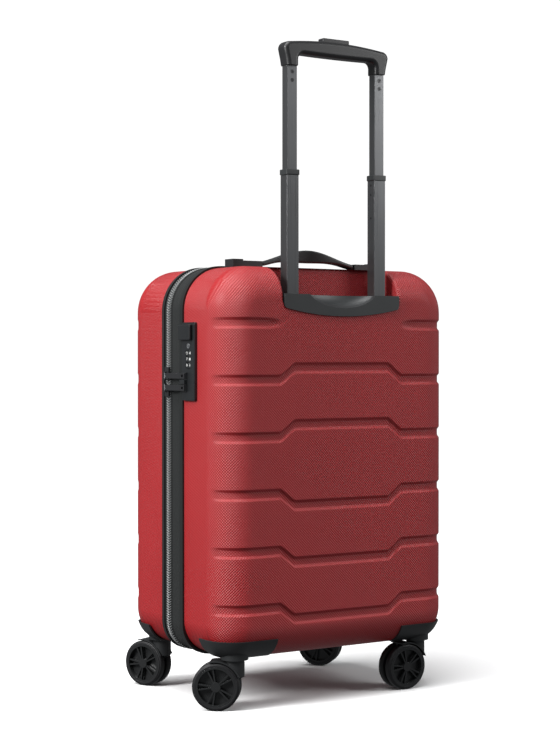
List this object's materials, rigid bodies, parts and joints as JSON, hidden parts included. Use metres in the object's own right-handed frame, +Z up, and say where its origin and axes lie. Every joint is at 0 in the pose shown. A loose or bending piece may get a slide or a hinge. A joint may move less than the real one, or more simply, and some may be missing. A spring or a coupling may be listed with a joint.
{
  "type": "hard shell suitcase",
  "caption": "Hard shell carry-on suitcase on twin-wheel casters, with a two-stage trolley handle, a zipped book opening and a combination lock on its side.",
  "frame": {"origin": "on the floor, under the middle of the case", "axes": "+Z up; X across the width with the lock on +X; +Y towards the trolley handle side"},
  "size_m": [0.3659, 0.2688, 0.8345],
  "materials": {
    "shell_red": "satin, finely embossed",
    "rim_rubber": "satin",
    "band_fabric": "coated weave",
    "zip_nylon": "nylon coil",
    "lining_fabric": "polyester lining",
    "strap_webbing": "elastic webbing",
    "bezel_plastic": "fine grain",
    "tube_aluminium": "dark anodised",
    "grip_plastic": "soft satin",
    "steel": "plain",
    "lock_plastic": "satin",
    "zip_metal": "black enamel",
    "caster_plastic": "fine grain",
    "wheel_rim": "satin",
    "tyre_rubber": "smooth rubber"
  },
  "bodies": {
    "root": {"back_shell": "shell_red", "back_rim": "rim_rubber", "expansion_band": "band_fabric", "zip_tape_back": "zip_nylon", "hinge_tape": "band_fabric", "back_lining": "lining_fabric", "packing_straps": "strap_webbing", "trolley_bezel": "bezel_plastic", "fixed_tubes": "tube_aluminium", "trolley_base": "bezel_plastic", "carry_handle_base": "bezel_plastic", "lock_case": "lock_plastic", "corner_guards_back": "caster_plastic"},
    "lid": {"front_shell": "shell_red", "front_rim": "rim_rubber", "zip_tape_front": "zip_nylon", "front_lining": "lining_fabric", "lid_pocket": "lining_fabric", "corner_guards_front": "caster_plastic"},
    "middle_stage": {"middle_tubes": "tube_aluminium", "middle_collars": "bezel_plastic"},
    "inner_stage": {"inner_tubes": "tube_aluminium", "grip_body": "grip_plastic", "grip_screws": "steel"},
    "grip_release": {"grip_button": "grip_plastic", "push_rods": "steel"},
    "carry_handle": {"carry_handle_grip": "grip_plastic"},
    "lock_release": {"lock_button": "lock_plastic"},
    "dial_1": {"lock_dial_1": "lock_plastic"},
    "dial_2": {"lock_dial_2": "lock_plastic"},
    "dial_3": {"lock_dial_3": "lock_plastic"},
    "key": {"key_cylinder": "steel"},
    "slider_upper": {"zip_slider_upper": "zip_metal"},
    "slider_lower": {"zip_slider_lower": "zip_metal"},
    "pull_upper": {"zip_pull_upper": "zip_metal"},
    "pull_lower": {"zip_pull_lower": "zip_metal"},
    "swivel_back_lock": {"caster_fork_back_lock": "caster_plastic", "caster_axle_back_lock": "steel"},
    "wheel_back_lock_left": {"rim_back_lock_left": "wheel_rim", "tyre_back_lock_left": "tyre_rubber"},
    "wheel_back_lock_right": {"rim_back_lock_right": "wheel_rim", "tyre_back_lock_right": "tyre_rubber"},
    "swivel_back_hinge": {"caster_fork_back_hinge": "caster_plastic", "caster_axle_back_hinge": "steel"},
    "wheel_back_hinge_left": {"rim_back_hinge_left": "wheel_rim", "tyre_back_hinge_left": "tyre_rubber"},
    "wheel_back_hinge_right": {"rim_back_hinge_right": "wheel_rim", "tyre_back_hinge_right": "tyre_rubber"},
    "swivel_front_lock": {"caster_fork_front_lock": "caster_plastic", "caster_axle_front_lock": "steel"},
    "wheel_front_lock_left": {"rim_front_lock_left": "wheel_rim", "tyre_front_lock_left": "tyre_rubber"},
    "wheel_front_lock_right": {"rim_front_lock_right": "wheel_rim", "tyre_front_lock_right": "tyre_rubber"},
    "swivel_front_hinge": {"caster_fork_front_hinge": "caster_plastic", "caster_axle_front_hinge": "steel"},
    "wheel_front_hinge_left": {"rim_front_hinge_left": "wheel_rim", "tyre_front_hinge_left": "tyre_rubber"},
    "wheel_front_hinge_right": {"rim_front_hinge_right": "wheel_rim", "tyre_front_hinge_right": "tyre_rubber"}
  },
  "joints": [
    {"name": "lid_hinge", "type": "hinge", "parent": "root", "child": "lid", "pos_m": [-0.1802, -0.007, 0.3045], "axis": [0, 0, -1], "range_deg": [0, 180]},
    {"name": "middle_slide", "type": "slide", "parent": "root", "child": "middle_stage", "axis": [0, 0, 1], "range_m": [-0.155, 0.09]},
    {"name": "inner_slide", "type": "slide", "parent": "middle_stage", "child": "inner_stage", "axis": [0, 0, 1], "range_m": [-0.126, 0.09]},
    {"name": "grip_press", "type": "slide", "parent": "inner_stage", "child": "grip_release", "axis": [0, 0, -1], "range_m": [0, 0.004], "stiffness_N_per_m": 800, "springref_m": -0.004},
    {"name": "carry_lift", "type": "slide", "parent": "root", "child": "carry_handle", "axis": [0, 0, 1], "range_m": [0, 0.01]},
    {"name": "lock_slide", "type": "slide", "parent": "root", "child": "lock_release", "axis": [0, 0, -1], "range_m": [0, 0.0035], "stiffness_N_per_m": 300, "springref_m": -0.002},
    {"name": "key_turn", "type": "hinge", "parent": "root", "child": "key", "pos_m": [0.179, 0.046, 0.4476], "axis": [1, 0, 0], "range_deg": [0, 90]},
    {"name": "dial_1_turn", "type": "hinge", "parent": "root", "child": "dial_1", "pos_m": [0.1729, 0.046, 0.4387], "axis": [0, 0, 1], "continuous": true},
    {"name": "dial_2_turn", "type": "hinge", "parent": "root", "child": "dial_2", "pos_m": [0.1729, 0.046, 0.4312], "axis": [0, 0, 1], "continuous": true},
    {"name": "dial_3_turn", "type": "hinge", "parent": "root", "child": "dial_3", "pos_m": [0.1729, 0.046, 0.4237], "axis": [0, 0, 1], "continuous": true},
    {"name": "zip_upper_slide", "type": "slide", "parent": "root", "child": "slider_upper", "axis": [0, 0, 1], "range_m": [0, 0.034]},
    {"name": "zip_lower_slide", "type": "slide", "parent": "root", "child": "slider_lower", "axis": [0, 0, -1], "range_m": [0, 0.25]},
    {"name": "pull_upper_turn", "type": "hinge", "parent": "slider_upper", "child": "pull_upper", "pos_m": [0.182, -0.007, 0.4105], "axis": [0, 0, -1], "range_deg": [0, 170]},
    {"name": "pull_lower_turn", "type": "hinge", "parent": "slider_lower", "child": "pull_lower", "pos_m": [0.182, -0.007, 0.3955], "axis": [0, 0, -1], "range_deg": [0, 170]},
    {"name": "swivel_back_lock_turn", "type": "hinge", "parent": "root", "child": "swivel_back_lock", "pos_m": [0.1395, 0.092, 0.0625], "axis": [0, 0, 1], "continuous": true},
    {"name": "wheel_back_lock_left_spin", "type": "hinge", "parent": "swivel_back_lock", "child": "wheel_back_lock_left", "pos_m": [0.1566, 0.07816, 0.0296], "axis": [0.6293, 0.7771, 0], "continuous": true},
    {"name": "wheel_back_lock_right_spin", "type": "hinge", "parent": "swivel_back_lock", "child": "wheel_back_lock_right", "pos_m": [0.1566, 0.07816, 0.0296], "axis": [0.6293, 0.7771, 0], "continuous": true},
    {"name": "swivel_back_hinge_turn", "type": "hinge", "parent": "root", "child": "swivel_back_hinge", "pos_m": [-0.1395, 0.092, 0.0625], "axis": [0, 0, 1], "continuous": true},
    {"name": "wheel_back_hinge_left_spin", "type": "hinge", "parent": "swivel_back_hinge", "child": "wheel_back_hinge_left", "pos_m": [-0.1175, 0.09162, 0.0296], "axis": [0.0175, 0.9998, 0], "continuous": true},
    {"name": "wheel_back_hinge_right_spin", "type": "hinge", "parent": "swivel_back_hinge", "child": "wheel_back_hinge_right", "pos_m": [-0.1175, 0.09162, 0.0296], "axis": [0.0175, 0.9998, 0], "continuous": true},
    {"name": "swivel_front_lock_turn", "type": "hinge", "parent": "lid", "child": "swivel_front_lock", "pos_m": [0.1395, -0.092, 0.0625], "axis": [0, 0, 1], "continuous": true},
    {"name": "wheel_front_lock_left_spin", "type": "hinge", "parent": "swivel_front_lock", "child": "wheel_front_lock_left", "pos_m": [0.1488, -0.11194, 0.0296], "axis": [0.9063, 0.4226, 0], "continuous": true},
    {"name": "wheel_front_lock_right_spin", "type": "hinge", "parent": "swivel_front_lock", "child": "wheel_front_lock_right", "pos_m": [0.1488, -0.11194, 0.0296], "axis": [0.9063, 0.4226, 0], "continuous": true},
    {"name": "swivel_front_hinge_turn", "type": "hinge", "parent": "lid", "child": "swivel_front_hinge", "pos_m": [-0.1395, -0.092, 0.0625], "axis": [0, 0, 1], "continuous": true},
    {"name": "wheel_front_hinge_left_spin", "type": "hinge", "parent": "swivel_front_hinge", "child": "wheel_front_hinge_left", "pos_m": [-0.12478, -0.10835, 0.0296], "axis": [0.7431, 0.6691, 0], "continuous": true},
    {"name": "wheel_front_hinge_right_spin", "type": "hinge", "parent": "swivel_front_hinge", "child": "wheel_front_hinge_right", "pos_m": [-0.12478, -0.10835, 0.0296], "axis": [0.7431, 0.6691, 0], "continuous": true}
  ]
}
